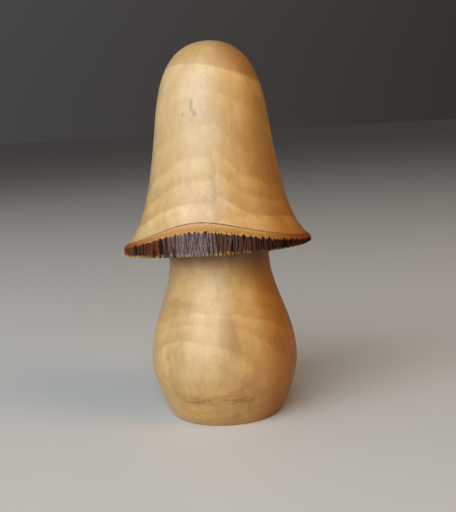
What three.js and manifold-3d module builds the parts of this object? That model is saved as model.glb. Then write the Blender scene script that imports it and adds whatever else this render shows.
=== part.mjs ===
// A mushroom turned on a lathe from one short branch. The cap and the stem are one piece of wood.
// The branch was wider at the cap's rim than anywhere else on the turning, so its bark was left
// there: it stands as a rough band round the rim, tall where the branch was narrow.
// Lengths are in millimetres. +Z is up, along the turning axis, and the foot stands at Z = 0.
// Bearings are in radians round +Z, counted from -Y (the front) towards +X.

import * as THREE from 'three';
import { mergeVertices } from 'three/addons/utils/BufferGeometryUtils.js';
import Module from 'manifold-3d';

// Heights along the turning axis.
const totalHeight = 100;
const bellyHeight = 14.9;
const neckHeight = 43.1;
const rimHeight = 46.1;
const shoulderHeight = 76.7;

// Radii of the turning.
const footRadius = 14.5;
const footEdgeRound = 0.6;
const bellyRadius = 19.9;
const neckRadius = 13.5;
const shoulderRadius = 15.45;

// How far each curve of the turning holds its direction before it bends away.
const footFlare = { out: 1.3, up: 0.5 };
const bellyReach = { down: 4.1, up: 11.4 };
const neckReach = 9.8;
const rimFlare = { inward: 4.1, up: 4.7 };
const shoulderReach = { down: 25, up: 8.8 };
const shoulderLean = 0.14;
const crownFlatness = 13;

// The cap's underside is cut a little hollow, so it rises from the rim to the neck.
const rimLip = 0.55;
const undersideSlope = 0.12;

// The branch was not round: two slow waves in its radius, each with the bearing of one crest.
const branchRadius = 23.15;
const branchOval = { height: 2.04, crest: THREE.MathUtils.degToRad(85) };
const branchLobe = { height: 0.35, crest: THREE.MathUtils.degToRad(15) };

// The bark, its upright ridges, and the thin dark line between the bark and the wood.
const barkThickness = 1.0;
const barkGap = 0.25;
const ridgeRelief = 0.22;
const ridgeCount = 108;
const ridgeDrift = { height: 2.4, waves: 7 };

// The turned blank reaches this much past the outermost ridge, so the bark is never trimmed.
const blankAllowance = 0.2;

// Fineness of the faceted solids.
const turnSteps = 72;
const stemCurveSteps = 8;
const capCurveSteps = 12;
const footRoundSteps = 3;
const woodOutlineSteps = 144;
const stepsPerRidge = 4;

const wasm = await Module();
wasm.setup();

// Radius of the branch's outer face at a bearing, before the ridges.
function branchOutline(bearing) {
  const oval = branchOval.height * Math.cos(2 * (bearing - branchOval.crest));
  const lobe = branchLobe.height * Math.cos(3 * (bearing - branchLobe.crest));
  return branchRadius + oval + lobe;
}

// Radius of the face where wood meets bark.
function woodOutline(bearing) {
  return branchOutline(bearing) - barkThickness;
}

// Radius of the bark's inner face, clear of the wood by the dark line's width.
function barkInnerOutline(bearing) {
  return woodOutline(bearing) + barkGap;
}

// Radius of the bark's ridged outer face. The ridges crowd and spread as they go round.
function barkOuterOutline(bearing) {
  const drift = ridgeDrift.height * Math.sin(ridgeDrift.waves * bearing);
  return branchOutline(bearing) + ridgeRelief * Math.sin(ridgeCount * bearing + drift);
}

// Radius that nothing on the branch reaches.
function blankRadius() {
  return branchRadius + branchOval.height + branchLobe.height + ridgeRelief + blankAllowance;
}

// A curve in the turning's half section, from four [radius, height] points.
function sectionCurve(start, leave, arrive, end) {
  return new THREE.CubicBezierCurve(
    new THREE.Vector2(...start),
    new THREE.Vector2(...leave),
    new THREE.Vector2(...arrive),
    new THREE.Vector2(...end),
  );
}

// The foot: a flat face with a rounded edge, from the axis outwards.
function footSection() {
  const edge = new THREE.EllipseCurve(
    footRadius, footEdgeRound, footEdgeRound, footEdgeRound, -Math.PI / 2, 0,
  );
  return [new THREE.Vector2(0, 0), ...edge.getPoints(footRoundSteps)];
}

// The stem: out to the belly and in to the neck.
function stemSection() {
  const footTop = [footRadius + footEdgeRound, footEdgeRound];
  const swell = sectionCurve(
    footTop,
    [footTop[0] + footFlare.out, footTop[1] + footFlare.up],
    [bellyRadius, bellyHeight - bellyReach.down],
    [bellyRadius, bellyHeight],
  );
  const taper = sectionCurve(
    [bellyRadius, bellyHeight],
    [bellyRadius, bellyHeight + bellyReach.up],
    [neckRadius, neckHeight - neckReach],
    [neckRadius, neckHeight],
  );
  return [...swell.getPoints(stemCurveSteps), ...taper.getPoints(stemCurveSteps)];
}

// The cap's underside: from the neck out to the rim's lower corner.
function undersideSection() {
  const lipHeight = rimHeight - rimLip;
  const neckTop = lipHeight + undersideSlope * (blankRadius() - neckRadius);
  return [new THREE.Vector2(neckRadius, neckTop), new THREE.Vector2(blankRadius(), lipHeight)];
}

// The cap's outside: a flared skirt up to the shoulder, then the crown, ending on the axis.
function capSection() {
  const skirt = sectionCurve(
    [blankRadius(), rimHeight],
    [blankRadius() - rimFlare.inward, rimHeight + rimFlare.up],
    [shoulderRadius + shoulderLean * shoulderReach.down, shoulderHeight - shoulderReach.down],
    [shoulderRadius, shoulderHeight],
  );
  const crown = sectionCurve(
    [shoulderRadius, shoulderHeight],
    [shoulderRadius - shoulderLean * shoulderReach.up, shoulderHeight + shoulderReach.up],
    [crownFlatness, totalHeight],
    [0, totalHeight],
  );
  return [...skirt.getPoints(capCurveSteps), ...crown.getPoints(capCurveSteps)];
}

// Joins section runs end to end, leaving out a point that repeats the one before it.
function joinSections(...runs) {
  const joined = [];
  for (const point of runs.flat()) {
    const last = joined.at(-1);
    if (!last || last.distanceTo(point) > 1e-6) {
      joined.push(point);
    }
  }
  return joined;
}

// Turns a closed geometry into a solid, dropping the flat triangles that a pole leaves.
function solidFrom(geometry) {
  const bare = geometry.clone();
  bare.deleteAttribute('normal');
  bare.deleteAttribute('uv');
  const merged = mergeVertices(bare, 1e-5);
  const corners = merged.getIndex().array;
  const kept = [];
  for (let i = 0; i < corners.length; i += 3) {
    const [a, b, c] = [corners[i], corners[i + 1], corners[i + 2]];
    if (a !== b && b !== c && c !== a) {
      kept.push(a, b, c);
    }
  }
  return new wasm.Manifold(new wasm.Mesh({
    numProp: 3,
    vertProperties: new Float32Array(merged.getAttribute('position').array),
    triVerts: new Uint32Array(kept),
  }));
}

// Turns a solid back into a geometry.
function geometryFrom(solid) {
  const mesh = solid.getMesh();
  const geometry = new THREE.BufferGeometry();
  geometry.setAttribute('position', new THREE.BufferAttribute(mesh.vertProperties, 3));
  geometry.setIndex(new THREE.BufferAttribute(mesh.triVerts, 1));
  geometry.computeVertexNormals();
  return geometry;
}

// The whole turning, before the bark and the wood are parted.
function turning() {
  const section = joinSections(footSection(), stemSection(), undersideSection(), capSection());
  section.at(-1).x = 0;
  const geometry = new THREE.LatheGeometry(section, turnSteps);
  geometry.rotateX(Math.PI / 2);
  return solidFrom(geometry);
}

// Points of a closed outline, given its radius at each bearing.
function outlinePoints(radiusAt, steps) {
  const points = [];
  for (let i = 0; i < steps; i += 1) {
    const bearing = (2 * Math.PI * i) / steps;
    const radius = radiusAt(bearing);
    points.push(new THREE.Vector2(radius * Math.sin(bearing), -radius * Math.cos(bearing)));
  }
  return points;
}

// An upright sleeve between two outlines, from the neck to above the crown.
function sleeve(innerPoints, outerPoints) {
  const shape = new THREE.Shape(outerPoints);
  shape.holes.push(new THREE.Path(innerPoints));
  const geometry = new THREE.ExtrudeGeometry(shape, {
    depth: totalHeight - neckHeight + 1,
    bevelEnabled: false,
  });
  geometry.translate(0, 0, neckHeight);
  return solidFrom(geometry);
}

// The wood: the turning with everything outside the wood's outline cut from the cap.
function turnedBodySolid(blank) {
  const beyondBlank = 2 * blankRadius();
  const outside = sleeve(
    outlinePoints(woodOutline, woodOutlineSteps),
    outlinePoints(() => beyondBlank, turnSteps),
  );
  return blank.subtract(outside);
}

// The bark: the part of the turning that lies in the bark's sleeve.
function barkRimSolid(blank) {
  const barkSleeve = sleeve(
    outlinePoints(barkInnerOutline, woodOutlineSteps),
    outlinePoints(barkOuterOutline, ridgeCount * stepsPerRidge),
  );
  return blank.intersect(barkSleeve);
}

// Pale satin wood, sanded and sealed.
function woodMaterial() {
  return new THREE.MeshStandardMaterial({ color: 0xc89a60, roughness: 0.45, metalness: 0 });
}

// Dry, dark bark.
function barkMaterial() {
  return new THREE.MeshStandardMaterial({ color: 0x3d2822, roughness: 0.9, metalness: 0 });
}

// A named piece in the group.
function addPiece(group, name, solid, material) {
  const piece = new THREE.Mesh(geometryFrom(solid), material);
  piece.name = name;
  group.add(piece);
}

const mushroom = new THREE.Group();
const blank = turning();
addPiece(mushroom, 'turned_body', turnedBodySolid(blank), woodMaterial());
addPiece(mushroom, 'bark_rim', barkRimSolid(blank), barkMaterial());

export default mushroom;
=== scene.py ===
"""A mushroom turned on a lathe from one branch, with the bark left round the cap's rim.

Lengths are in metres and +Z is up, along the turning axis. Bearings go round +Z from the front, -Y,
towards +X. Formulas inside node trees work in millimetres, because noise is easier to judge there.
"""

import logging
import math
from dataclasses import dataclass, field
from enum import Enum
from typing import Any, Sequence, Union

import bpy
from bpy.types import Material, Node, NodeSocket, NodeTree, Object
from mathutils import Matrix, Vector


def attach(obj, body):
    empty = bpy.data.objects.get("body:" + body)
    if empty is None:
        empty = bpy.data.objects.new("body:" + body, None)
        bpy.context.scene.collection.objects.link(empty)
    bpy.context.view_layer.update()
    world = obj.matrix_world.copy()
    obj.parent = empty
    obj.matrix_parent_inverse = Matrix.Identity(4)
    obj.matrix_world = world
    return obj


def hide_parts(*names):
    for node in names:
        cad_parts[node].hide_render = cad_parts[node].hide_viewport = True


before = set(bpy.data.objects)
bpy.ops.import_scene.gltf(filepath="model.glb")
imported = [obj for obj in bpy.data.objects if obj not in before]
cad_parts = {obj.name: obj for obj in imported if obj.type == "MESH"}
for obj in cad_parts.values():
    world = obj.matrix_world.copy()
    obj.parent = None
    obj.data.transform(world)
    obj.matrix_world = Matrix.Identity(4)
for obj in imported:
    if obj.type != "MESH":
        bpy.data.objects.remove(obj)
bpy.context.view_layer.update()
MM = 0.001
# Round a radius of 15 mm, as far as a mark reaches for each degree.
MM_PER_DEGREE = 0.26
# A quarter circle's handles, as a share of its radius.
QUARTER_CIRCLE = 0.5523
# Points closer than this, in millimetres, become one.
SEAM = 0.002
CURVE_STEPS = 400
SKIRT_COLUMNS = 224
SKIRT_ROWS = 300
RAY_START, RAY_LENGTH = 200.0, 300.0
CURVE_ENDS = ("Start", "Leave", "Arrive", "End")
LOG_PLACES = ("Degrees", "Side", "Front", "Plain", "Share", "Ring")
GRAINS = ("Fibre", "Streak", "Pore")
LOG = logging.getLogger("mushroom")

Value = Union["Flow", float]
Colour = tuple[float, float, float]
Points = list[tuple[float, float]]
SOCKETS = {int: "NodeSocketInt", float: "NodeSocketFloat", tuple: "NodeSocketVector"}
GEOMETRY = {"Geometry": "NodeSocketGeometry"}


# ---- Writing node trees ----


@dataclass(frozen=True)
class Flow:
    """A value that runs through a node tree, and that plain arithmetic extends."""

    graph: "Graph"
    socket: NodeSocket

    def __add__(self, other: Value) -> "Flow":
        """The sum."""
        return self.graph.math("ADD", self, other)

    __radd__ = __add__

    def __sub__(self, other: Value) -> "Flow":
        """The difference."""
        return self.graph.math("SUBTRACT", self, other)

    def __rsub__(self, other: Value) -> "Flow":
        """The difference, with a plain number first."""
        return self.graph.math("SUBTRACT", other, self)

    def __mul__(self, other: Value) -> "Flow":
        """The product."""
        return self.graph.math("MULTIPLY", self, other)

    __rmul__ = __mul__

    def __truediv__(self, other: Value) -> "Flow":
        """The quotient."""
        return self.graph.math("DIVIDE", self, other)

    def separate(self) -> tuple["Flow", "Flow", "Flow"]:
        """A vector's three parts."""
        made = self.graph.node("ShaderNodeSeparateXYZ", {0: self})
        return self.graph.out(made, 0), self.graph.out(made, 1), self.graph.out(made, 2)

    def stretch(self, scale: Sequence[float]) -> "Flow":
        """A vector multiplied part by part."""
        return self.graph.get("ShaderNodeVectorMath", {0: self, 1: scale}, operation="MULTIPLY")

    def shift(self, offset: Sequence[float]) -> "Flow":
        """A vector moved by a fixed offset."""
        return self.graph.get("ShaderNodeVectorMath", {0: self, 1: offset}, operation="ADD")

    def noise(self, scale: float, detail: float = 2.0, rough: float = 0.5) -> "Flow":
        """Smooth noise between 0 and 1 at a place."""
        sockets = {"Vector": self, "Scale": scale, "Detail": detail, "Roughness": rough}
        return self.graph.get("ShaderNodeTexNoise", sockets)

    def grain(self, along: float, scale: float, detail: float = 2.0, rough: float = 0.5) -> "Flow":
        """Noise at a place, drawn out up the branch, the more so the smaller along is."""
        return self.stretch((1.0, 1.0, along)).noise(scale, detail, rough)

    def lines(self, scale: float, detail: float, rough: float) -> "Flow":
        """Noise that changes only as one value does, such as the height."""
        return self.graph.combine(0.0, 0.0, self).noise(scale, detail, rough)

    def cracks(self, scale: float) -> "Flow":
        """Distance from a place to the nearest border between random cells."""
        sockets = {"Vector": self, "Scale": scale, "Randomness": 1.0}
        return self.graph.get("ShaderNodeTexVoronoi", sockets, "Distance",
                              feature="DISTANCE_TO_EDGE", voronoi_dimensions="2D")

    def cells(self, scale: float) -> "Flow":
        """A random level for the random cell that a place lies in."""
        sockets = {"Vector": self, "Scale": scale}
        return self.graph.get("ShaderNodeTexVoronoi", sockets, "Color", feature="F1").separate()[0]

    def fit(self, low: Value, high: Value, first: Value = 0.0, last: Value = 1.0,
            smooth: bool = True) -> "Flow":
        """Carries the value from one range to another, held at both ends and eased if smooth."""
        return self.graph.get("ShaderNodeMapRange", {0: self, 1: low, 2: high, 3: first, 4: last},
                              interpolation_type="SMOOTHSTEP" if smooth else "LINEAR", clamp=True)

    def fall(self, low: float, high: float) -> "Flow":
        """A level that falls from 1 to 0 over a range."""
        return self.fit(low, high, 1.0, 0.0)

    def window(self, rise: tuple[float, float], drop: tuple[float, float]) -> "Flow":
        """A level that rises from 0 to 1 over one range and falls back over the next."""
        return self.fit(*rise) * self.fall(*drop)

    def ramp(self, stops: Sequence[tuple[float, Colour]]) -> "Flow":
        """A colour looked up along a row of stops.

        Args:
            stops: Each stop's place and colour, from the first to the last.

        Returns:
            The colour.
        """
        made = self.graph.node("ShaderNodeValToRGB", {0: self})
        bar = made.color_ramp
        for end in (-1, 0):
            place, colour = stops[end]
            bar.elements[end].position, bar.elements[end].color = place, (*colour, 1.0)
        for place, colour in stops[1:-1]:
            bar.elements.new(place).color = (*colour, 1.0)
        return self.graph.out(made)


@dataclass(frozen=True)
class Graph:
    """Adds nodes to one tree and joins them up."""

    tree: NodeTree

    def node(self, kind: str, inputs: dict[Any, Any] | None = None, **settings: Any) -> Node:
        """Adds a node.

        Args:
            kind: The node's type name.
            inputs: Values or flows for its input sockets, by name or number.
            **settings: The node's own properties.

        Returns:
            The new node.
        """
        made = self.tree.nodes.new(kind)
        for name, setting in settings.items():
            setattr(made, name, setting)
        for key, value in (inputs or {}).items():
            self.feed(made.inputs[key], value)
        return made

    def feed(self, socket: NodeSocket, value: Any) -> None:
        """Links an input, or sets it.

        Args:
            socket: The input socket.
            value: A flow or an output socket to link, or a plain value to set.
        """
        source = value.socket if isinstance(value, Flow) else value
        if isinstance(source, NodeSocket):
            self.tree.links.new(source, socket)
        else:
            socket.default_value = source

    def out(self, made: Node, key: Any = 0) -> Flow:
        """The flow out of a node's output socket."""
        return Flow(self, made.outputs[key])

    def get(self, kind: str, inputs: dict[Any, Any], key: Any = 0, **settings: Any) -> Flow:
        """The flow out of a new node."""
        return self.out(self.node(kind, inputs, **settings), key)

    def shape(self, kind: str, surface: Any, inputs: dict[Any, Any] | None = None,
              **settings: Any) -> Flow:
        """A surface passed through a new geometry node."""
        return self.get(kind, {0: surface, **(inputs or {})}, **settings)

    def math(self, operation: str, *values: Value) -> Flow:
        """One Math node's result."""
        return self.get("ShaderNodeMath", dict(enumerate(values)), operation=operation)

    def combine(self, x: Value, y: Value, z: Value) -> Flow:
        """A vector from its three parts."""
        return self.get("ShaderNodeCombineXYZ", {0: x, 1: y, 2: z})

    def blend(self, share: Value, first: Value, last: Value) -> Flow:
        """A number between two others."""
        return self.get("ShaderNodeMix", {0: share, 2: first, 3: last}, data_type="FLOAT")

    def tint(self, share: Value, first: Any, last: Any, mode: str = "MIX") -> Flow:
        """A colour mixed from two others.

        Args:
            share: How much of the last colour is used.
            first: The first colour, as a flow or three numbers.
            last: The last colour, as a flow or three numbers.
            mode: How the two are mixed.

        Returns:
            The mixed colour.
        """
        made = self.node("ShaderNodeMix", {0: share}, data_type="RGBA", blend_type=mode)
        for key, colour in ((6, first), (7, last)):
            self.feed(made.inputs[key], colour if isinstance(colour, Flow) else (*colour, 1.0))
        return self.out(made, 2)

    def layered(self, colour: Flow, layers: Sequence[tuple[Flow, Colour]]) -> Flow:
        """A colour with other colours laid over it, each by its own share.

        Args:
            colour: The colour underneath.
            layers: Each layer's share and colour, from the lowest up.

        Returns:
            The mixed colour.
        """
        for share, shade in layers:
            colour = self.tint(share, colour, shade)
        return colour

    def roughen(self, shader: Node, relief: Flow, strength: float, depth: float) -> None:
        """Gives a shader a fine relief, its depth in millimetres."""
        sockets = {"Height": relief, "Strength": strength, "Distance": depth * MM}
        self.feed(shader.inputs["Normal"], self.get("ShaderNodeBump", sockets))


def new_group(name: str, kind: str, inputs: dict[str, Any],
              outputs: dict[str, str]) -> tuple[Graph, dict[str, Flow], Node]:
    """Starts a node group.

    Args:
        name: The group's name.
        kind: The tree's type, for shaders or for geometry.
        inputs: Each input's default, whose type says what the socket holds.
        outputs: Each output's socket type.

    Returns:
        Its graph, its inputs by name, and its output node.
    """
    tree = bpy.data.node_groups.new(name, kind)
    for label, default in inputs.items():
        made = tree.interface.new_socket(label, in_out="INPUT", socket_type=SOCKETS[type(default)])
        made.default_value = default
    for label, socket in outputs.items():
        tree.interface.new_socket(label, in_out="OUTPUT", socket_type=socket)
    graph = Graph(tree)
    source = graph.node("NodeGroupInput")
    flows = {label: graph.out(source, label) for label in inputs}
    return graph, flows, graph.node("NodeGroupOutput")


def grow(name: str, tree: NodeTree, settings: dict[str, Any]) -> Object:
    """Runs a geometry tree on an empty object and keeps the result as a plain mesh.

    Args:
        name: The new piece's name.
        tree: The geometry tree.
        settings: Values for the tree's named inputs.

    Returns:
        The piece, at the origin, with no modifier left on it.
    """
    piece = bpy.data.objects.new(name, bpy.data.meshes.new(name))
    bpy.context.scene.collection.objects.link(piece)
    modifier = piece.modifiers.new("grow", "NODES")
    modifier.node_group = tree
    sockets = {item.name: item.identifier for item in tree.interface.items_tree
               if item.item_type == "SOCKET" and item.in_out == "INPUT"}
    for label, value in settings.items():
        modifier[sockets[label]] = value
    piece.update_tag()
    bpy.context.view_layer.update()
    graph = bpy.context.evaluated_depsgraph_get()
    mesh = bpy.data.meshes.new_from_object(piece.evaluated_get(graph), depsgraph=graph)
    mesh.name = name
    empty = piece.data
    piece.modifiers.remove(modifier)
    piece.data = mesh
    bpy.data.meshes.remove(empty)
    return piece


# ---- Sizes ----


@dataclass(frozen=True)
class Wave:
    """A slow wave in the branch's radius: its height in millimetres, its crests, and the bearing of
    one crest."""

    height: float
    crests: int
    bearing: float


@dataclass(frozen=True)
class Branch:
    """The branch that the piece was turned from, in millimetres."""

    radius: float = 23.15
    oval: Wave = Wave(2.04, 2, math.radians(85))
    lobe: Wave = Wave(0.35, 3, math.radians(15))
    bark: float = 1.0
    inner_oval: float = 0.7

    def outline(self, bearing: Flow, oval_share: float = 1.0) -> Flow:
        """The radius of the branch's outer face at a bearing.

        Args:
            bearing: The bearing, in radians.
            oval_share: How much of the oval is left, which is less for the inner rings.

        Returns:
            The radius in millimetres.
        """
        total: Value = self.radius
        for wave, share in ((self.oval, oval_share), (self.lobe, 1.0)):
            turn = (bearing - wave.bearing) * wave.crests
            total = turn.graph.math("COSINE", turn) * (wave.height * share) + total
        return total


@dataclass(frozen=True)
class Turning:
    """The turned outline, in millimetres, as the design gives it."""

    height: float = 100.0
    belly_height: float = 14.9
    neck_height: float = 43.1
    rim_height: float = 46.1
    shoulder_height: float = 76.7
    foot_radius: float = 14.5
    foot_round: float = 0.6
    belly_radius: float = 19.9
    neck_radius: float = 13.5
    shoulder_radius: float = 15.45
    rim_radius: float = 25.96
    rim_lip: float = 0.55
    underside_slope: float = 0.12
    rim_slant: float = 0.65
    foot_flare: tuple[float, float] = (1.3, 0.5)
    belly_reach: tuple[float, float] = (4.1, 11.4)
    neck_reach: float = 9.8
    rim_flare: tuple[float, float] = (4.1, 4.7)
    shoulder_reach: tuple[float, float] = (25.0, 8.8)
    shoulder_lean: float = 0.14
    crown_flatness: float = 13.0

    @property
    def shoulder(self) -> tuple[float, float]:
        """Radius and height of the cap's shoulder."""
        return self.shoulder_radius, self.shoulder_height

    @property
    def foot_corner(self) -> tuple[float, float]:
        """Radius and height at which the foot's rounded edge ends."""
        return self.foot_radius + self.foot_round, self.foot_round

    @property
    def lip_height(self) -> float:
        """Height of the rim's lower corner."""
        return self.rim_height - self.rim_lip

    def underside(self, radius: Value) -> Value:
        """Height of the cap's underside at a radius."""
        return (self.rim_radius - radius) * self.underside_slope + self.lip_height

    def slant(self, bearing: Flow, radius: Value) -> Flow:
        """How far the rim's underside is lifted, because it was parted off at a slight slant.

        Args:
            bearing: The bearing, in radians.
            radius: The radius in millimetres.

        Returns:
            The lift in millimetres, below nothing on the left.
        """
        graph = bearing.graph
        outward = radius.fit(self.neck_radius + 1.0, self.rim_radius - 3.0, smooth=False)
        return graph.math("SINE", bearing) * outward * self.rim_slant

    def skirt(self) -> Points:
        """Curve points of the cap's flared skirt, from the rim to the shoulder."""
        reach = self.shoulder_reach[0]
        return curve((self.rim_radius, self.rim_height), (-self.rim_flare[0], self.rim_flare[1]),
                     (self.shoulder_lean * reach, -reach), self.shoulder)

    def crown(self) -> Points:
        """Curve points of the cap's crown, from the shoulder to the axis."""
        reach = self.shoulder_reach[1]
        return curve(self.shoulder, (-self.shoulder_lean * reach, reach),
                     (self.crown_flatness, 0.0), (0.0, self.height))

    def swell(self) -> Points:
        """Curve points of the stem from the foot to the belly."""
        return curve(self.foot_corner, self.foot_flare,
                     (0.0, -self.belly_reach[0]), (self.belly_radius, self.belly_height))

    def taper(self) -> Points:
        """Curve points of the stem from the belly to the neck."""
        return curve((self.belly_radius, self.belly_height), (0.0, self.belly_reach[1]),
                     (0.0, -self.neck_reach), (self.neck_radius, self.neck_height))

    def foot_edge(self) -> Points:
        """Curve points of the foot's rounded edge, a quarter circle."""
        pull = QUARTER_CIRCLE * self.foot_round
        return curve((self.foot_radius, 0.0), (pull, 0.0), (0.0, -pull), self.foot_corner)


def curve(start: tuple[float, float], leave: tuple[float, float], arrive: tuple[float, float],
          end: tuple[float, float]) -> Points:
    """Curve points of a run, its two handles given as steps from its ends."""
    return [start, (start[0] + leave[0], start[1] + leave[1]),
            (end[0] + arrive[0], end[1] + arrive[1]), end]


def straight(start: tuple[float, float], end: tuple[float, float]) -> Points:
    """Curve points of a straight run."""
    out, up = ((b - a) / 3 for a, b in zip(start, end))
    return curve(start, (out, up), (-out, -up), end)


# ---- Shared geometry trees ----


def bearing_of(x: Flow, y: Flow) -> Flow:
    """The bearing of a place, in radians from the front."""
    return x.graph.math("ARCTAN2", x, y * -1.0)


def around(bearing: Flow, radius: Value, height: Value) -> Flow:
    """The place at a bearing, a radius and a height."""
    graph = bearing.graph
    return graph.combine(graph.math("SINE", bearing) * radius,
                         graph.math("COSINE", bearing) * radius * -1.0, height)


def turned_run_group() -> NodeTree:
    """The geometry group that turns one run of the section round the axis.

    Returns:
        A group with the run's four curve points, its rows and its columns as inputs.
    """
    inputs = {**dict.fromkeys(CURVE_ENDS, (0.0, 0.0, 0.0)), "Rows": 8, "Columns": 32}
    graph, given, result = new_group("turned run", "GeometryNodeTree", inputs, GEOMETRY)
    segment = graph.get("GeometryNodeCurvePrimitiveBezierSegment", {
        "Resolution": CURVE_STEPS, "Start": given["Start"], "Start Handle": given["Leave"],
        "End Handle": given["Arrive"], "End": given["End"]}, mode="POSITION")
    grid = graph.node("GeometryNodeMeshGrid", {
        "Size X": 1.0, "Size Y": 1.0, "Vertices X": given["Columns"] + 1.0,
        "Vertices Y": given["Rows"] + 1.0})
    across, along, _ = graph.get("GeometryNodeInputPosition", {}).separate()
    sample = graph.get("GeometryNodeSampleCurve", {"Curves": segment, "Factor": along + 0.5},
                       "Position", mode="FACTOR", use_all_curves=True)
    radius, height, _ = sample.separate()
    place = around(across * math.tau, radius, height)
    moved = graph.shape("GeometryNodeSetPosition", graph.out(grid, "Mesh"), {"Position": place})
    graph.feed(result.inputs["Geometry"], moved)
    return graph.tree


def turned_runs(graph: Graph, group: NodeTree, columns: Value,
                runs: Sequence[tuple[Points, int]]) -> Flow:
    """Turns several runs of a section and joins them into one surface.

    Args:
        graph: The graph to write in.
        group: The group that turns one run.
        columns: How many columns go round.
        runs: Each run's four curve points and its number of rows.

    Returns:
        The joined surface, its seams not yet merged.
    """
    join = graph.node("GeometryNodeJoinGeometry")
    for points, rows in runs:
        made = graph.node("GeometryNodeGroup", node_tree=group)
        for label, point in zip(CURVE_ENDS, points):
            made.inputs[label].default_value = (point[0], point[1], 0.0)
        made.inputs["Rows"].default_value = rows
        graph.feed(made.inputs["Columns"], columns)
        graph.feed(join.inputs[0], made.outputs[0])
    return graph.out(join)


def finish_piece(surface: Flow, material: Material, result: Node, merge: float = SEAM) -> None:
    """Closes seams, brings the piece to metres, and gives it its material.

    Args:
        surface: The surface in millimetres.
        material: The finish.
        result: The tree's output node.
        merge: How close two points must be to become one, in millimetres.
    """
    graph = surface.graph
    merged = graph.shape("GeometryNodeMergeByDistance", surface, {"Distance": merge})
    smooth = graph.shape("GeometryNodeSetShadeSmooth", merged)
    size = graph.shape("GeometryNodeTransform", smooth, {"Scale": (MM, MM, MM)})
    real = graph.shape("GeometryNodeRealizeInstances", size)
    dressed = graph.shape("GeometryNodeSetMaterial", real, {"Material": material})
    graph.feed(result.inputs["Geometry"], dressed)


def label_points(surface: Flow, labels: dict[str, Value]) -> Flow:
    """Stores values on a surface's points, under the names that the finishes read.

    Args:
        surface: The surface.
        labels: The value for each name.

    Returns:
        The same surface.
    """
    for label, value in labels.items():
        surface = surface.graph.shape("GeometryNodeStoreNamedAttribute", surface, {
            "Name": label, "Value": value}, data_type="FLOAT", domain="POINT")
    return surface


def skirt_of(graph: Graph, run: NodeTree, turning: Turning) -> Flow:
    """The turned skirt alone, finely cut, for rays to land on."""
    return turned_runs(graph, run, SKIRT_COLUMNS, [(turning.skirt(), SKIRT_ROWS)])


def split_curve(points: Points, share: float) -> tuple[list, list]:
    """Cuts a curve in two at a share of its course.

    Args:
        points: The curve's four points.
        share: Where to cut, from 0 at the start to 1 at the end.

    Returns:
        The four points of each half.
    """
    first, last, level = [], [], list(points)
    while level:
        first.append(level[0])
        last.insert(0, level[-1])
        level = [tuple(p + (q - p) * share for p, q in zip(a, b)) for a, b in zip(level, level[1:])]
    return first, last


# ---- Finishes ----


def log_place_group(branch: Branch) -> NodeTree:
    """The shader group that says where a point lay in the branch.

    Args:
        branch: The branch's sizes.

    Returns:
        A group that gives the place in millimetres, the bearing in degrees, how far the place lies
        to the right and to the front (from -1 to 1, and 0 on the axis), how plainly the dark line
        between wood and bark shows, and the radius as a share of the outline and of the rings.
    """
    outputs = {"Place": SOCKETS[tuple], **dict.fromkeys(LOG_PLACES, SOCKETS[float])}
    graph, _, result = new_group("place in the log", "ShaderNodeTree", {}, outputs)
    place = graph.get("ShaderNodeTexCoord", {}, "Object").stretch((1 / MM,) * 3)
    x, y, _ = place.separate()
    bearing = bearing_of(x, y)
    degrees = bearing * math.degrees(1.0)
    radius = graph.math("SQRT", x * x + y * y)
    share = radius / branch.outline(bearing)
    inner = radius / branch.outline(bearing, branch.inner_oval)
    ring = graph.blend(share.fit(0.89, 0.95), inner, share)
    plain = graph.math("ABSOLUTE", degrees + 5.0).fit(28.0, 70.0, 1.0, 0.35)
    off_axis = radius.fit(0.0, 10.0)
    side, front = graph.math("SINE", bearing) * off_axis, graph.math("COSINE", bearing) * off_axis
    for socket, flow in zip(result.inputs, (place, degrees, side, front, plain, share, ring)):
        graph.feed(socket, flow)
    return graph.tree


def fibre_group() -> NodeTree:
    """The shader group for fibres that run up the branch.

    Returns:
        A group that gives fine fibres, broad streaks and short pores, each between 0 and 1.
    """
    graph, given, result = new_group("fibres", "ShaderNodeTree", {"Place": (0.0, 0.0, 0.0)},
                                     dict.fromkeys(GRAINS, SOCKETS[float]))
    place = given["Place"]
    graph.feed(result.inputs["Fibre"], place.grain(0.035, 3.2, 4.0, 0.65))
    graph.feed(result.inputs["Streak"], place.grain(0.06, 0.33, 3.0, 0.55))
    graph.feed(result.inputs["Pore"], place.stretch((1.0, 1.0, 0.12)).cells(2.6))
    return graph.tree


@dataclass(frozen=True)
class Spot:
    """Where a point of a material lay in the branch, and the grain there, as flows."""

    graph: Graph
    place: Flow
    degrees: Flow
    side: Flow
    front: Flow
    plain: Flow
    share: Flow
    ring: Flow
    fibre: Flow
    streak: Flow
    pore: Flow
    height: Flow

    @classmethod
    def find(cls, graph: Graph, log: NodeTree, fibres: NodeTree) -> "Spot":
        """Puts the two shared groups in a material.

        Args:
            graph: The material's graph.
            log: The group that places a point in the branch.
            fibres: The group for fibres.

        Returns:
            The flows that come out of them.
        """
        where = graph.node("ShaderNodeGroup", node_tree=log)
        place = graph.out(where, "Place")
        grain = graph.node("ShaderNodeGroup", {"Place": place}, node_tree=fibres)
        found = [graph.out(where, key) for key in LOG_PLACES]
        found += [graph.out(grain, key) for key in GRAINS]
        return cls(graph, place, *found, place.separate()[2])


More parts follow.
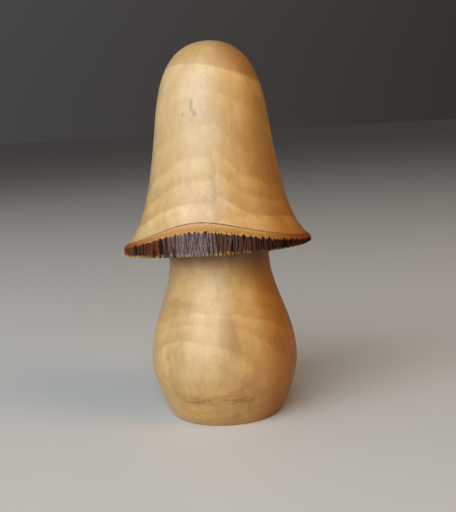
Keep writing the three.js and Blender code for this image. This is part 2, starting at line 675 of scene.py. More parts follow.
@dataclass(frozen=True)
class Mark:
    """A dark mark in the wood: its bearing in degrees, and its height and half sizes in mm."""

    bearing: float
    height: float
    wide: float
    tall: float
    strength: float = 0.6

    def mask(self, spot: Spot, fray: Flow) -> Flow:
        """How strongly the mark shows.

        Args:
            spot: The point's flows.
            fray: The grain that frays the mark's edge.

        Returns:
            A share, at most the mark's strength.
        """
        graph = spot.graph
        across = (spot.degrees - self.bearing) * (MM_PER_DEGREE / self.wide)
        along = (spot.height - self.height) * (1.0 / self.tall)
        off = graph.math("SQRT", across * across + along * along) + (fray - 0.5) * 1.2
        return off.fit(0.3, 1.2, self.strength, 0.0)


@dataclass(frozen=True)
class Year:
    """One year's growth: where it ends, as a share of the branch, then how pale it starts and how
    dark it ends, each from 0 to 1."""

    end: float
    pale: float
    dark: float


def mixed(first: Colour, last: Colour, share: float) -> Colour:
    """The colour a share of the way from the first to the last."""
    return tuple(a + (b - a) * share for a, b in zip(first, last))


@dataclass(frozen=True)
class Shake:
    """The seam that climbs the front of the branch: its bearing in degrees at the foot, how that
    changes with the height and with the height squared, and how far it wanders."""

    foot: float = 24.5
    lean: float = -0.75
    bend: float = 0.0055
    wander: float = 7.0

    def off(self, spot: Spot) -> Flow:
        """How many degrees a point lies to the right of the seam."""
        wave = spot.height.lines(0.16, 2.0, 0.5) * self.wander - self.wander / 2
        return spot.degrees - wave - (spot.height * spot.height * self.bend
                                      + (self.foot + self.lean * spot.height))

    def stain(self, spot: Spot, off: Flow) -> Flow:
        """How strongly the seam's stain shows.

        Args:
            spot: The point's flows.
            off: Degrees to the right of the seam.

        Returns:
            A share from 0 to 1.
        """
        close = off.window((-7.0, -0.5), (0.0, 3.0))
        on_cap = spot.height.window((55.0, 60.0), (68.0, 78.0))
        on_stem = spot.height.window((16.0, 21.0), (27.0, 31.0))
        return close * (on_cap * 0.6 + on_stem * 0.4) * spot.streak.fit(0.25, 0.6, 0.35, 1.0)


@dataclass(frozen=True)
class WoodFinish:
    """Pale turned wood, sanded and waxed to a satin surface."""

    name: str = "turned wood"
    early: Colour = (0.62, 0.385, 0.135)
    late: Colour = (0.41, 0.203, 0.045)
    heart: Colour = (0.31, 0.136, 0.028)
    stain: Colour = (0.24, 0.12, 0.045)
    line: Colour = (0.15, 0.055, 0.018)
    middle: Colour = (0.505, 0.28, 0.074)
    # Pale colour: random pale mottling, and the painted highlights on the crown and the belly.
    worn: Colour = (0.575, 0.415, 0.235)
    crown_sheen: float = 0.24
    belly_sheen: float = 0.3
    # Painted shade, multiplied in on the right side and towards the foot.
    painted_shade: Colour = (0.82, 0.59, 0.30)
    most_painted_shade: float = 1.5
    # Painted shadow in the corner under the cap.
    corner: Colour = (0.22, 0.11, 0.04)
    shake: Shake = Shake()
    ring_step: float = 0.022
    ring_sway: tuple[float, float] = (0.036, 0.012)
    pith_right: float = 0.97
    pith_front: float = 0.24
    knots: tuple[Mark, ...] = (Mark(-20.0, 83.4, 0.6, 1.9, 0.9), Mark(-16.5, 81.2, 0.7, 1.1, 0.8),
                               Mark(-29.0, 80.9, 0.5, 0.7, 0.75), Mark(-19.0, 79.6, 1.2, 0.7, 0.3))
    # The mark at 40 degrees high on the neck is partly a real stain and partly painted shadow of
    # the cap.
    stains_and_shade: tuple[Mark, ...] = (Mark(-47.0, 32.4, 7.5, 1.7, 0.6), Mark(4.0, 25.5, 2.8, 6.5, 0.55),
                                Mark(40.0, 41.5, 6.5, 3.2, 0.5), Mark(-62.0, 61.5, 5.0, 2.2, 0.35),
                                Mark(55.0, 70.0, 5.5, 14.0, 0.45), Mark(-60.0, 29.5, 7.0, 3.0, 0.4))
    years: tuple[Year, ...] = (
        Year(0.30, 0.3, 0.6), Year(0.515, 0.2, 0.9), Year(0.62, 0.8, 0.4), Year(0.70, 0.4, 0.7),
        Year(0.752, 0.0, 0.9), Year(0.80, 0.6, 0.7), Year(0.86, 0.5, 1.0), Year(0.96, 1.0, 0.2),
        Year(1.0, 0.4, 0.4))
    pith_near_crown: float = 0.045
    pith_low: float = 0.042
    ring_edge: float = 0.005
    thin_rings: float = 44.0
    roughness: float = 0.52
    line_inset: float = 0.16
    line_blur: float = 0.006
    wax_roughness: float = 0.42
    wax_least: float = 0.05
    specular: float = 0.5
    bump: float = 0.12
    bump_depth: float = 0.1

    def make(self, branch: Branch, log: NodeTree, fibres: NodeTree) -> Material:
        """Builds the material.

        Args:
            branch: The branch's sizes.
            log: The group that places a point in the branch.
            fibres: The group for fibres.

        Returns:
            The material.
        """
        material, graph, shader = new_material(self.name)
        spot = Spot.find(graph, log, fibres)
        turned = spot.height.lines(3.0, 3.0, 0.7)
        painted_shade, corner = self.painted_shade_mask(spot), self.cap_shadow_mask(spot)
        colour = self.marked(spot, self.figured(spot))
        dark_fibre = spot.fibre.fit(0.42, 0.75) * 0.22 + turned.fit(0.55, 0.75) * spot.streak * 0.2
        colour = graph.tint(dark_fibre, colour, self.heart)
        # The painted shade is laid on twice where its mask goes past 1.
        colour = graph.tint(painted_shade, colour, self.painted_shade, "MULTIPLY")
        colour = graph.tint(painted_shade - 1.0, colour, self.painted_shade, "MULTIPLY")
        colour = graph.tint(spot.share.fall(0.02, 0.05) * 0.5, colour, self.line)
        # Painted shadow under the cap.
        colour = graph.tint(corner, colour, self.corner, "MULTIPLY")
        edge = 1.0 - (branch.bark + self.line_inset) / branch.radius
        line = spot.share.fit(edge, edge + self.line_blur) * spot.height.fit(45.0, 46.5)
        graph.feed(shader.inputs["Base Color"], graph.tint(line * spot.plain, colour, self.line))
        rough = graph.blend(spot.fibre, self.roughness - 0.06, self.roughness + 0.1)
        graph.feed(shader.inputs["Roughness"], rough)
        relief = spot.fibre * 0.6 + turned * 0.25 + spot.pore.fit(0.0, 0.1) * 0.15
        graph.roughen(shader, relief, self.bump, self.bump_depth)
        # The wax coat thins where the painted shade lies, and is absent in the painted shadow under
        # the cap.
        wax = painted_shade.fit(0.0, self.most_painted_shade, 1.0, self.wax_least, smooth=False) * (1.0 - corner)
        graph.feed(shader.inputs["Coat Weight"], wax)
        shader.inputs["Coat Roughness"].default_value = self.wax_roughness
        shader.inputs["Specular IOR Level"].default_value = self.specular
        return material

    def figured(self, spot: Spot) -> Flow:
        """The wood's own figure: rings that step across the seam, clouds, mottling and streaks.

        Args:
            spot: The point's flows.

        Returns:
            The colour.
        """
        graph = spot.graph
        off_seam = self.shake.off(spot)
        slow, quick = self.ring_sway
        sway = spot.place.grain(0.3, 0.1) * slow - slow / 2
        sway = sway + (spot.place.grain(0.25, 0.55) * quick - quick / 2)
        right = off_seam.window((-2.0, 2.5), (2.5, 22.0))
        right = right * spot.height.window((14.0, 50.0), (72.0, 86.0))
        ring = spot.ring + sway + right * self.ring_step
        # The pith is off centre, to the right, near the crown and again low in the stem.
        off_pith = graph.math("MAXIMUM", ring.fall(0.4, 0.85) * self.pith_near_crown,
                              spot.height.fall(20.0, 30.0) * self.pith_low)
        ring = ring - (spot.side * self.pith_right + spot.front * self.pith_front) * off_pith
        shown = spot.place.grain(0.4, 0.09).fit(0.35, 0.65, 0.55, 1.0)
        shown = shown * spot.height.fit(26.0, 50.0, 0.65, 1.0)
        cloud = spot.place.grain(0.6, 0.12, 3.0, 0.55)
        mottle = spot.place.grain(0.5, 0.42, 4.0, 0.7)
        thin = graph.combine(ring * self.thin_rings, 0.0, 0.0).noise(1.0, 2.0, 0.6)
        dome = ring.fall(0.50, 0.525) * spot.height.fit(60.0, 80.0)
        return graph.layered(graph.tint(shown, self.middle, ring.ramp(self.ring_stops())), [
            (cloud.fit(0.46, 0.72) * 0.45, self.heart),
            (mottle.fit(0.51, 0.68) * 0.42, self.heart),
            (mottle.fall(0.33, 0.49) * 0.3, self.worn),
            (thin.fit(0.48, 0.66) * ring.fit(0.76, 0.88, 0.12, 0.34), self.late),
            (spot.streak.fit(0.44, 0.64) * 0.3, self.late),
            (dome * spot.side.fit(0.0, 0.35, 0.2, 0.7), self.heart),
            (self.shake.stain(spot, off_seam), self.stain),
        ])

    def marked(self, spot: Spot, colour: Flow) -> Flow:
        """Adds the smears low on the stem, the knots, the stained marks, a painted cap shadow and
        painted highlights.

        Args:
            spot: The point's flows.
            colour: The colour so far.

        Returns:
            The new colour.
        """
        graph = spot.graph
        band = spot.height.window((5.8, 7.6), (7.8, 10.0))
        front = spot.degrees.window((-42.0, -28.0), (18.0, 32.0))
        blot = spot.place.stretch((0.4, 0.4, 0.9)).noise(1.0, 3.0, 0.6)
        # Painted highlights: the crown's upper front and the belly's left side are lightened.
        crown = spot.height.fit(58.0, 80.0) * spot.side.fall(0.1, 0.65)
        crown = crown * spot.front.fit(-0.3, 0.4)
        belly = spot.degrees.window((-48.0, -26.0), (-14.0, 6.0))
        belly = belly * spot.height.window((9.0, 15.0), (20.0, 27.0))
        return graph.layered(colour, [
            (band * front * blot.fit(0.43, 0.56), self.heart),
            *((mark.mask(spot, spot.fibre), self.line) for mark in self.knots),
            *((mark.mask(spot, spot.streak), self.heart) for mark in self.stains_and_shade),
            (crown * self.crown_sheen + belly * self.belly_sheen, self.worn),
        ])

    def ring_stops(self) -> list[tuple[float, Colour]]:
        """Colour stops of the growth rings: each year pales suddenly and then darkens slowly.

        Returns:
            Each stop's place and colour.
        """
        stops: list[tuple[float, Colour]] = []
        start = 0.0
        for year in self.years:
            stops.append((start + self.ring_edge, mixed(self.middle, self.early, year.pale)))
            stops.append((year.end - self.ring_edge, mixed(self.middle, self.late, year.dark)))
            start = year.end
        return stops

    def painted_shade_mask(self, spot: Spot) -> Flow:
        """How much painted shade lies on the right side, away from the light, and towards the foot.

        Args:
            spot: The point's flows.

        Returns:
            A level from 0 to the most painted shade.
        """
        graph, side, height = spot.graph, spot.side, spot.height
        shaded_side = side.fit(0.3, 0.8) * height.fit(50.0, 80.0, 1.0, 0.45)
        stem = side.fit(0.5, 0.95) * height.fall(44.0, 47.0) * 0.4
        foot = height.fall(2.0, 24.0) * 0.5 * side.fit(-0.6, 0.2, 0.4, 1.0)
        return graph.math("MINIMUM", shaded_side + stem + foot, self.most_painted_shade)

    def cap_shadow_mask(self, spot: Spot) -> Flow:
        """How strongly the painted shadow darkens the corner where the neck meets the cap's
        underside.
        """
        inside = spot.share.fall(0.6, 0.74) * spot.height.fall(46.5, 47.0)
        return inside * spot.height.fit(41.2, 45.6, smooth=False)


@dataclass(frozen=True)
class BarkFinish:
    """Dry bark: dark ridges, redder clefts, and a torn orange edge where the lathe met it."""

    name: str = "branch bark"
    ridge: Colour = (0.078, 0.039, 0.026)
    cleft: Colour = (0.018, 0.007, 0.004)
    bloom: Colour = (0.225, 0.165, 0.168)
    grit: Colour = (0.34, 0.25, 0.21)
    rust: Colour = (0.23, 0.045, 0.011)
    bast: Colour = (0.47, 0.25, 0.075)
    inner: Colour = (0.37, 0.15, 0.03)
    torn: Colour = (0.60, 0.33, 0.09)
    line: Colour = (0.12, 0.04, 0.014)
    # Painted shade towards both sides of the face.
    painted_side_shade: Colour = (0.50, 0.35, 0.26)
    roughness: float = 0.9
    inner_roughness: float = 0.5
    gloss_roughness: float = 0.4
    specular: float = 0.06
    bump: float = 0.9
    bump_depth: float = 0.3

    def make(self, log: NodeTree, fibres: NodeTree) -> Material:
        """Builds the material.

        Args:
            log: The group that places a point in the branch.
            fibres: The group for fibres.

        Returns:
            The material.
        """
        material, graph, shader = new_material(self.name)
        spot = Spot.find(graph, log, fibres)
        relief, band = (graph.get("ShaderNodeAttribute", {}, "Fac", attribute_name=label)
                        for label in ("relief", "band"))
        speck = spot.place.grain(0.35, 2.6, 3.0, 0.65)
        outside = (band + (speck - 0.5) * 0.16).fit(1.01, 1.035)
        top, face = self.top(spot, band, speck), self.face(spot, relief, band, speck)
        graph.feed(shader.inputs["Base Color"], graph.tint(outside, top, face))
        rough = graph.blend(speck, self.roughness - 0.15, self.roughness + 0.1)
        graph.feed(shader.inputs["Roughness"], graph.blend(outside, self.inner_roughness, rough))
        graph.feed(shader.inputs["Coat Weight"], band.fall(0.55, 0.9) * 0.5)
        graph.roughen(shader, speck * 0.5 + spot.fibre * 0.5, self.bump, self.bump_depth)
        shader.inputs["Coat Roughness"].default_value = self.gloss_roughness
        shader.inputs["Specular IOR Level"].default_value = self.specular
        return material

    def face(self, spot: Spot, relief: Flow, band: Flow, speck: Flow) -> Flow:
        """The outer face: red on the left, greyish and worn in front, with painted shade to the
        right and towards both sides.

        Args:
            spot: The point's flows.
            relief: How high the bark stands, from a cleft to a ridge.
            band: How far round the ring's section the point lies.
            speck: Fine specks.

        Returns:
            The colour.
        """
        graph, degrees = spot.graph, spot.degrees
        left = degrees.fall(-64.0, -20.0) + degrees.fit(110.0, 170.0)
        right = degrees.window((8.0, 60.0), (110.0, 170.0))
        front = degrees.window((-38.0, -24.0), (-10.0, 2.0))
        # Ridges darken to the right: painted shade.
        ridge = graph.tint(right * 0.55, self.ridge, self.cleft)
        stripe = spot.place.grain(0.07, 1.3, 3.0, 0.6)
        red = (left * 0.72 + 0.28) * stripe.fit(0.45, 0.6)
        red = red * relief.fit(0.2, 0.6) * speck.fit(0.3, 0.6, 0.4, 1.0)
        pale = (front * 0.95 + stripe.fall(0.38, 0.5) * 0.25) * relief.fit(0.1, 0.7)
        flake = spot.place.grain(0.6, 3.4, 4.0, 0.85)
        grit = flake.fit(0.6, 0.68) * relief.fit(0.3, 0.7)
        colour = graph.tint((relief + front * 0.18).fit(0.2, 0.8), self.cleft, ridge)
        colour = graph.layered(colour, [
            (red, self.rust),
            (pale * speck.fit(0.35, 0.6, 0.45, 1.0), self.bloom),
            (flake.fall(0.38, 0.52) * (0.25 + front * 0.6), self.cleft),
            (grit * (0.5 - left * 0.35), self.grit),
        ])
        # Painted shade towards both sides, none near the front.
        ends = graph.math("ABSOLUTE", degrees + 15.0).fit(14.0, 50.0)
        ends = ends * degrees.fit(-74.0, -48.0, 0.6, 1.0)
        ends = ends * degrees.fit(75.0, 120.0, 1.0, 0.55)
        colour = graph.tint(ends, colour, self.painted_side_shade, "MULTIPLY")
        bared = graph.math("ABSOLUTE", degrees - 3.0).fall(3.0, 8.0) * 0.9 + 0.3 + left * 0.5
        foot = band.fit(1.78, 1.97) * speck.fit(0.45, 0.6)
        return graph.tint(foot * bared, colour, self.torn)

    def top(self, spot: Spot, band: Flow, speck: Flow) -> Flow:
        """The turned inner bark on top, from the wood to the torn edge.

        Args:
            spot: The point's flows.
            band: How far round the ring's section the point lies.
            speck: Fine specks.

        Returns:
            The colour.
        """
        graph = spot.graph
        return graph.layered(graph.tint(band.fit(0.1, 0.75), self.bast, self.inner), [
            (band.fit(0.74, 0.96) * speck.fit(0.35, 0.6, 0.35, 1.0), self.torn),
            (spot.fibre.fit(0.45, 0.7) * 0.35, self.rust),
            (graph.math("ABSOLUTE", spot.degrees + 8.0).fit(25.0, 68.0) * 0.92, self.rust),
            (band.fall(0.05, 0.16) * spot.plain, self.line),
        ])


def new_material(name: str) -> tuple[Material, Graph, Node]:
    """Starts a material with one Principled shader.

    Args:
        name: The finish's name.

    Returns:
        The material, its graph and its shader node.
    """
    material = bpy.data.materials.new(name)
    material.use_nodes = True
    material.node_tree.nodes.clear()
    graph = Graph(material.node_tree)
    shader = graph.node("ShaderNodeBsdfPrincipled")
    graph.node("ShaderNodeOutputMaterial", {"Surface": shader.outputs[0]})
    return material, graph, shader


# ---- The pieces ----


@dataclass
class TurnedBody:
    """Cap and stem, one turned piece of wood."""

    turning: Turning
    branch: Branch
    columns: int = 224
    skirt_split: float = 0.45
    run: NodeTree | None = None

    def tree(self, material: Material) -> NodeTree:
        """The geometry tree: the turned runs, cut back to the wood's own outline at the rim.

        Args:
            material: The wood finish.

        Returns:
            The tree.
        """
        graph, given, result = new_group("turned body", "GeometryNodeTree", self.settings(),
                                         GEOMETRY)
        surface = turned_runs(graph, self.run, given["Columns"], self.runs())
        x, y, height = graph.get("GeometryNodeInputPosition", {}).separate()
        bearing = bearing_of(x, y)
        edge = self.branch.outline(bearing) - given["Bark"]
        radius = graph.math("SQRT", x * x + y * y)
        held = graph.math("MINIMUM", radius, edge)
        lift = self.turning.slant(bearing, held)
        under = graph.math("LESS_THAN", height, self.turning.underside(radius) + 0.01)
        lowest = graph.math("MAXIMUM", height + under * lift, self.turning.underside(held) + lift)
        raised = graph.math("GREATER_THAN", height, self.turning.neck_height + 0.5)
        cut = graph.shape("GeometryNodeSetPosition", surface, {
            "Selection": raised, "Position": around(bearing, held, lowest)})
        finish_piece(cut, material, result)
        return graph.tree

    def settings(self) -> dict[str, Any]:
        """The tree's named inputs."""
        return {"Columns": self.columns, "Bark": self.branch.bark}

    def runs(self) -> list[tuple[Points, int]]:
        """Lists the runs of the section, from the foot's middle to the crown's tip.

        Returns:
            Each run's four curve points and its number of rows.
        """
        t = self.turning
        neck_top = (t.neck_radius, t.underside(t.neck_radius))
        lip, rim = (t.rim_radius, t.lip_height), (t.rim_radius, t.rim_height)
        flare, side = split_curve(t.skirt(), self.skirt_split)
        return [
            (straight((0.0, 0.0), (t.foot_radius, 0.0)), 6),
            (t.foot_edge(), 4),
            (t.swell(), 36),
            (t.taper(), 52),
            (straight((t.neck_radius, t.neck_height), neck_top), 8),
            (straight(neck_top, lip), 24),
            (straight(lip, rim), 2),
            (flare, 96),
            (side, 56),
            (t.crown(), 56),
        ]

    def build(self, material: Material) -> Object:
        """Makes the piece and puts it in the frame's place.

        Args:
            material: The finish.

        Returns:
            The piece.
        """
        piece = grow("turned_wood", self.tree(material), self.settings())
        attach(piece, "root")
        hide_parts("turned_body")
        return piece


@dataclass
class BarkRim:
    """The ring of bark left round the cap: turned on top, ridged and cleft outside, and torn at its
    edge. It reaches a little into the wood, by overlap and seat, so that no gap shows."""

    turning: Turning
    branch: Branch
    columns: int = 1440
    top_rows: int = 9
    face_rows: int = 26
    under_rows: int = 6
    back_rows: int = 3
    depth: float = 0.5
    pitch: float = 1.05
    proud: float = 0.2
    tear: float = 0.3
    chip: float = 0.3
    overlap: float = 0.05
    seat: float = 0.06
    run: NodeTree | None = None

    def tree(self, material: Material) -> NodeTree:
        """The geometry tree: one closed band of rows, carried round the ring's section.

        Args:
            material: The bark finish.

        Returns:
            The tree.
        """
        graph, given, result = new_group("bark rim", "GeometryNodeTree", self.settings(), GEOMETRY)
        rows = (self.top_rows, self.face_rows, self.under_rows, self.back_rows)
        grid = graph.get("GeometryNodeMeshGrid", {
            "Size X": 1.0, "Size Y": 1.0, "Vertices X": given["Columns"] + 1.0,
            "Vertices Y": sum(rows) + 1}, "Mesh")
        across, along, _ = graph.get("GeometryNodeInputPosition", {}).separate()
        bearing = across * math.tau
        top, face, under, back = self.parts(along + 0.5, rows)
        skirt = skirt_of(graph, self.run, self.turning)
        outer = self.branch.outline(bearing)
        inner = outer - (self.branch.bark + self.overlap)
        crest = self.drop(skirt, bearing, outer)
        floor = self.turning.underside(outer)
        level_top = self.level(bearing, outer, crest, given["Pitch"])
        level = self.level(bearing, outer, graph.blend(face, crest, floor), given["Pitch"])
        reach = outer + self.proud - given["Depth"]
        edge = reach + level * given["Depth"]
        edge_top = reach + level_top * given["Depth"]
        radius = graph.blend(graph.math("MAXIMUM", under, back), graph.blend(top, inner, edge),
                             graph.blend(under, edge, inner))
        rim = around(bearing, outer, 0.0)
        torn = rim.noise(1.7, 3.0, 0.7).fit(0.42, 0.72)
        broken = rim.shift((9.0, 4.0, 2.0)).noise(0.9, 3.0, 0.7)
        skin = self.drop(skirt, bearing, graph.blend(top, inner, edge_top))
        near_top = top.fit(0.7, 1.0) * face.fall(0.0, 0.12)
        buried = top.fit(0.0, 0.12, self.seat, -0.01)
        skin = skin - buried + near_top * torn * given["Tear"]
        bottom = self.turning.underside(radius) + self.turning.slant(bearing, radius)
        chipped = under.fall(0.0, 0.6) * broken.fit(0.5, 0.72)
        bottom = bottom + chipped * given["Chip"] + under.fit(0.8, 1.0) * self.overlap
        height = graph.blend(face, skin, bottom)
        height = graph.blend(back, height, self.drop(skirt, bearing, inner) - self.seat)
        band = (top + face + under) * back.fall(0.0, 0.01)
        surface = label_points(grid, {"relief": level, "band": band})
        moved = graph.shape("GeometryNodeSetPosition", surface,
                            {"Position": around(bearing, radius, height)})
        outward = graph.shape("GeometryNodeFlipFaces", moved)
        finish_piece(outward, material, result)
        return graph.tree

    def settings(self) -> dict[str, Any]:
        """The tree's named inputs."""
        return {"Columns": self.columns, "Depth": self.depth, "Pitch": self.pitch,
                "Tear": self.tear, "Chip": self.chip}

    def parts(self, along: Flow, rows: Sequence[int]) -> list[Flow]:
        """Splits the way round the section into its parts.

        Args:
            along: How far round the section a row lies.
            rows: The number of rows in each part.

        Returns:
            One level for each part, which goes from 0 to 1 in its turn.
        """
        ends = [sum(rows[:part]) / sum(rows) for part in range(len(rows) + 1)]
        return [along.fit(*pair, smooth=False) for pair in zip(ends, ends[1:])]

    def drop(self, skirt: Flow, bearing: Flow, radius: Flow) -> Flow:
        """Height of the turned skirt at a bearing and a radius, found by dropping a ray on it."""
        graph, above = bearing.graph, around(bearing, radius, RAY_START)
        return graph.get("GeometryNodeRaycast", {
            "Target Geometry": skirt, "Source Position": above, "Ray Direction": (0.0, 0.0, -1.0),
            "Ray Length": RAY_LENGTH}, "Hit Position").separate()[2]

    def level(self, bearing: Flow, radius: Flow, height: Flow, pitch: Value) -> Flow:
        """How high the bark stands: 0 in a cleft and 1 on a ridge.

        Args:
            bearing: The bearing, in radians.
            radius: The outline's radius.
            height: The height.
            pitch: The usual width of a ridge.

        Returns:
            The level.
        """
        graph, here = bearing.graph, around(bearing, radius, height)
        wander = here.stretch((0.15, 0.15, 0.3)).noise(1.0, 2.0) - 0.5
        along = (bearing * self.branch.radius + wander * 1.6) / pitch
        flat = graph.combine(along, height / pitch, 0.0)
        ridge = flat.stretch((1.0, 0.045, 0.0)).cracks(1.0).fit(0.01, 0.17)
        fine = flat.stretch((1.0, 0.1, 0.0)).cracks(2.3).fit(0.0, 0.2)
        rough = here.stretch((1.0, 1.0, 0.25)).noise(2.2, 4.0, 0.75)
        level = ridge * 0.6 + ridge * fine * 0.24 + rough * 0.4 - 0.12
        degrees = bearing * math.degrees(1.0)
        worn = degrees.fit(-40.0, -26.0) * degrees.fit(-12.0, -2.0, 0.35, 0.0)
        level = level + (0.5 + rough * 0.4 - level) * worn
        # A cleft hides the joint at the back.
        return level * graph.math("ABSOLUTE", bearing).fall(math.pi - 0.016, math.pi - 0.004)

    def build(self, material: Material) -> Object:
        """Makes the piece and puts it in the frame's place.

        Args:
            material: The finish.

        Returns:
            The piece.
        """
        piece = grow("rim_bark", self.tree(material), self.settings())
        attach(piece, "root")
        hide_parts("bark_rim")
        return piece


@dataclass
class TornFringe:
    """Small torn tongues of inner bark that hang over the ridges' tops."""

    rim: BarkRim
    count: int = 460
    long: float = 0.62
    wide: float = 0.13
    tip: float = 0.03
    stray: float = 0.45
    lean: tuple[float, float] = (138.0, 182.0)
    sway: tuple[float, float] = (-28.0, 28.0)
    sizes: tuple[float, float] = (0.45, 1.15)
    inset: float = 0.1
    lift: float = 0.04
    band: float = 0.97
    seed: int = 11

    def tree(self, material: Material) -> NodeTree:
        """The geometry tree: one tongue, set out round the rim at random.

        Args:
            material: The bark finish.

        Returns:
            The tree.
        """
        graph, given, result = new_group("torn fringe", "GeometryNodeTree", self.settings(),
                                         GEOMETRY)
        index = graph.get("GeometryNodeInputIndex", {})
        stray = self.chance(given["Seed"], -self.stray, self.stray)
        bearing = (index + stray) * (math.tau / self.count) - math.pi
        rim = self.rim
        skirt = skirt_of(graph, rim.run, rim.turning)
        outer = rim.branch.outline(bearing)
        level = rim.level(bearing, outer, rim.drop(skirt, bearing, outer), rim.pitch)
        radius = outer + (rim.proud - rim.depth - self.inset) + level * rim.depth
        height = rim.drop(skirt, bearing, radius) + self.lift
        points = graph.get("GeometryNodePoints", {
            "Count": given["Count"], "Position": around(bearing, radius, height)})
        tongue = graph.get("GeometryNodeMeshCone", {
            "Vertices": 6, "Side Segments": 3, "Radius Top": self.tip, "Radius Bottom": self.wide,
            "Depth": self.long})
        thin = graph.shape("GeometryNodeTransform", tongue, {"Scale": (1.0, 0.5, 1.0)})
        lean = self.chance(given["Seed"] + 1.0, *map(math.radians, self.lean))
        sway = self.chance(given["Seed"] + 2.0, *map(math.radians, self.sway))
        turn = graph.get("FunctionNodeEulerToRotation", {0: graph.combine(lean, sway, bearing)})
        size = self.chance(given["Seed"] + 3.0, *self.sizes)
        tongues = graph.shape("GeometryNodeInstanceOnPoints", points, {
            "Instance": thin, "Rotation": turn, "Scale": graph.combine(size, size, size)})
        real = graph.shape("GeometryNodeRealizeInstances", tongues)
        surface = label_points(real, {"relief": 1.0, "band": self.band})
        finish_piece(surface, material, result, SEAM / 4)
        return graph.tree

    def settings(self) -> dict[str, Any]:
        """The tree's named inputs."""
        return {"Count": self.count, "Seed": self.seed}

    def chance(self, seed: Flow, low: float, high: float) -> Flow:
        """A fixed random number for each tongue."""
        return seed.graph.get("FunctionNodeRandomValue", {2: low, 3: high, "Seed": seed}, 1,
                         data_type="FLOAT")

    def build(self, material: Material) -> Object:
        """Makes the piece and puts it on the mushroom's body.

        Args:
            material: The finish.

        Returns:
            The piece.
        """
        piece = grow("torn_fringe", self.tree(material), self.settings())
        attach(piece, "root")
        return piece


# ---- The studio ----


class Side(Enum):
    """Which way a panel of light faces the mushroom from."""

    LEFT = "left"
    RIGHT = "right"
    BACK = "back"
    FLANK = "flank"


@dataclass(frozen=True)
class Panel:
    """One soft panel of light, aimed at the mushroom's middle."""

    side: Side
    bearing: float
    climb: float
    distance: float
    size: tuple[float, float]
    power: float
    colour: Colour

    def build(self, target: Vector) -> Object:
        """Makes the panel and aims it.

        Args:
            target: What it is aimed at.

        Returns:
            The panel.
        """
        data = bpy.data.lights.new(f"panel {self.side.value}", "AREA")
        data.shape, (data.size, data.size_y) = "RECTANGLE", self.size
        data.energy, data.color = self.power, self.colour
        panel = bpy.data.objects.new(data.name, data)
        turn, rise = math.radians(self.bearing), math.radians(self.climb)
        away = Vector((math.sin(turn) * math.cos(rise), -math.cos(turn) * math.cos(rise),
                       math.sin(rise)))
        aim = (-away).to_track_quat("-Z", "Y")
        panel.matrix_world = (Matrix.Translation(target + away * self.distance)
                              @ aim.to_matrix().to_4x4())
        bpy.context.scene.collection.objects.link(panel)
        return panel


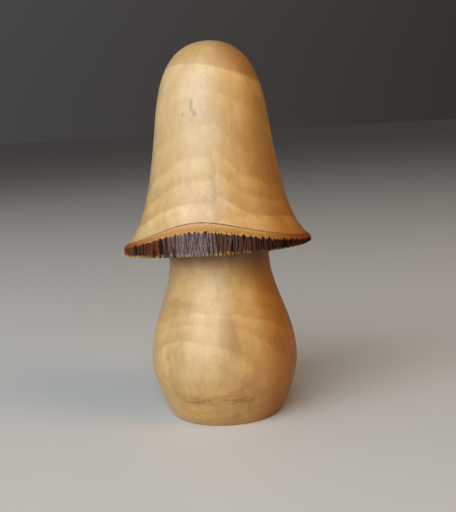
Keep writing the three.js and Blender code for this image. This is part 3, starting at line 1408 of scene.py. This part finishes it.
@dataclass(frozen=True)
class Studio:
    """Camera, lights, air and floor."""

    eye: tuple[float, float, float] = (0.0, -0.230, 0.0771)
    pitch: float = 8.5
    yaw: float = 0.59
    roll: float = 3.17
    lens: float = 60.1
    sensor: float = 36.0
    target: tuple[float, float, float] = (0.0, 0.0, 0.05)
    floor_size: float = 60.0
    floor_tone: Colour = (0.52, 0.49, 0.465)
    floor_roughness: float = 0.6
    air_tone: Colour = (0.88, 0.92, 0.97)
    dim_tone: Colour = (0.22, 0.15, 0.09)
    air_strength: float = 0.17
    panels: tuple[Panel, ...] = field(default_factory=lambda: (
        Panel(Side.LEFT, -27.0, 33.0, 0.9, (0.92, 0.82), 12.2, (0.82, 0.94, 1.0)),
        Panel(Side.FLANK, -68.0, 26.0, 0.9, (0.5, 0.6), 1.6, (0.68, 0.87, 1.0)),
        Panel(Side.BACK, -112.0, 18.0, 0.9, (0.7, 0.6), 1.0, (1.0, 0.95, 0.88)),
        Panel(Side.RIGHT, 60.0, 42.0, 0.9, (0.4, 0.6), 3.0, (1.0, 0.66, 0.34)),
    ))

    def build(self) -> None:
        """Makes the whole studio."""
        self.place_camera()
        for panel in self.panels:
            made = panel.build(Vector(self.target))
            LOG.info("%s: %.1f W", made.name, panel.power)
        self.fill_air()
        self.lay_floor()
        bpy.context.scene.view_settings.view_transform = "Standard"

    def place_camera(self) -> None:
        """Puts the camera in front, a little above, tilted down and leaning."""
        data = bpy.data.cameras.new("camera")
        data.lens, data.sensor_width = self.lens, self.sensor
        data.clip_start, data.clip_end = 0.01, 20.0
        camera = bpy.data.objects.new("camera", data)
        aim = (Matrix.Rotation(math.radians(-self.yaw), 4, "Z")
               @ Matrix.Rotation(math.radians(90.0 - self.pitch), 4, "X")
               @ Matrix.Rotation(math.radians(-self.roll), 4, "Z"))
        camera.matrix_world = Matrix.Translation(Vector(self.eye)) @ aim
        bpy.context.scene.collection.objects.link(camera)
        bpy.context.scene.camera = camera

    def fill_air(self) -> None:
        """Gives the room a soft even light."""
        world = bpy.data.worlds.new("air")
        world.use_nodes = True
        graph, ground = Graph(world.node_tree), world.node_tree.nodes["Background"]
        across, _, climb = graph.get("ShaderNodeTexCoord", {}, "Generated").separate()
        near = graph.tint(across.fit(-0.9, 0.9), self.air_tone, self.dim_tone)
        low = graph.tint(1.0, near, self.floor_tone, "MULTIPLY")
        graph.feed(ground.inputs["Color"], graph.tint(climb.fit(0.0, 0.8), low, near))
        ground.inputs["Strength"].default_value = self.air_strength
        bpy.context.scene.world = world

    def lay_floor(self) -> None:
        """Lays a plain pale floor."""
        half = self.floor_size / 2
        mesh = bpy.data.meshes.new("floor")
        corners = [(-half, -half, 0), (half, -half, 0), (half, half, 0), (-half, half, 0)]
        mesh.from_pydata(corners, [], [(0, 1, 2, 3)])
        floor = bpy.data.objects.new("floor", mesh)
        material, _, shader = new_material("floor paint")
        shader.inputs["Base Color"].default_value = (*self.floor_tone, 1.0)
        shader.inputs["Roughness"].default_value = self.floor_roughness
        mesh.materials.append(material)
        bpy.context.scene.collection.objects.link(floor)


def report(piece: Object) -> None:
    """Logs a piece's size and its number of triangles.

    Args:
        piece: The piece.
    """
    piece.data.calc_loop_triangles()
    span = " x ".join(f"{(max(side) - min(side)) / MM:.1f}" for side in zip(*piece.bound_box))
    LOG.info("%s: %s mm, %d triangles", piece.name, span, len(piece.data.loop_triangles))


def main() -> None:
    """Builds the mushroom and the studio in order."""
    logging.basicConfig(level=logging.INFO, format="%(name)s %(levelname)s %(message)s")
    turning, branch = Turning(), Branch()
    log, fibres, run = log_place_group(branch), fibre_group(), turned_run_group()
    wood = WoodFinish().make(branch, log, fibres)
    bark = BarkFinish().make(log, fibres)
    report(TurnedBody(turning, branch, run=run).build(wood))
    rim = BarkRim(turning, branch, run=run)
    report(rim.build(bark))
    report(TornFringe(rim).build(bark))
    Studio().build()


if __name__ == "__main__":
    main()
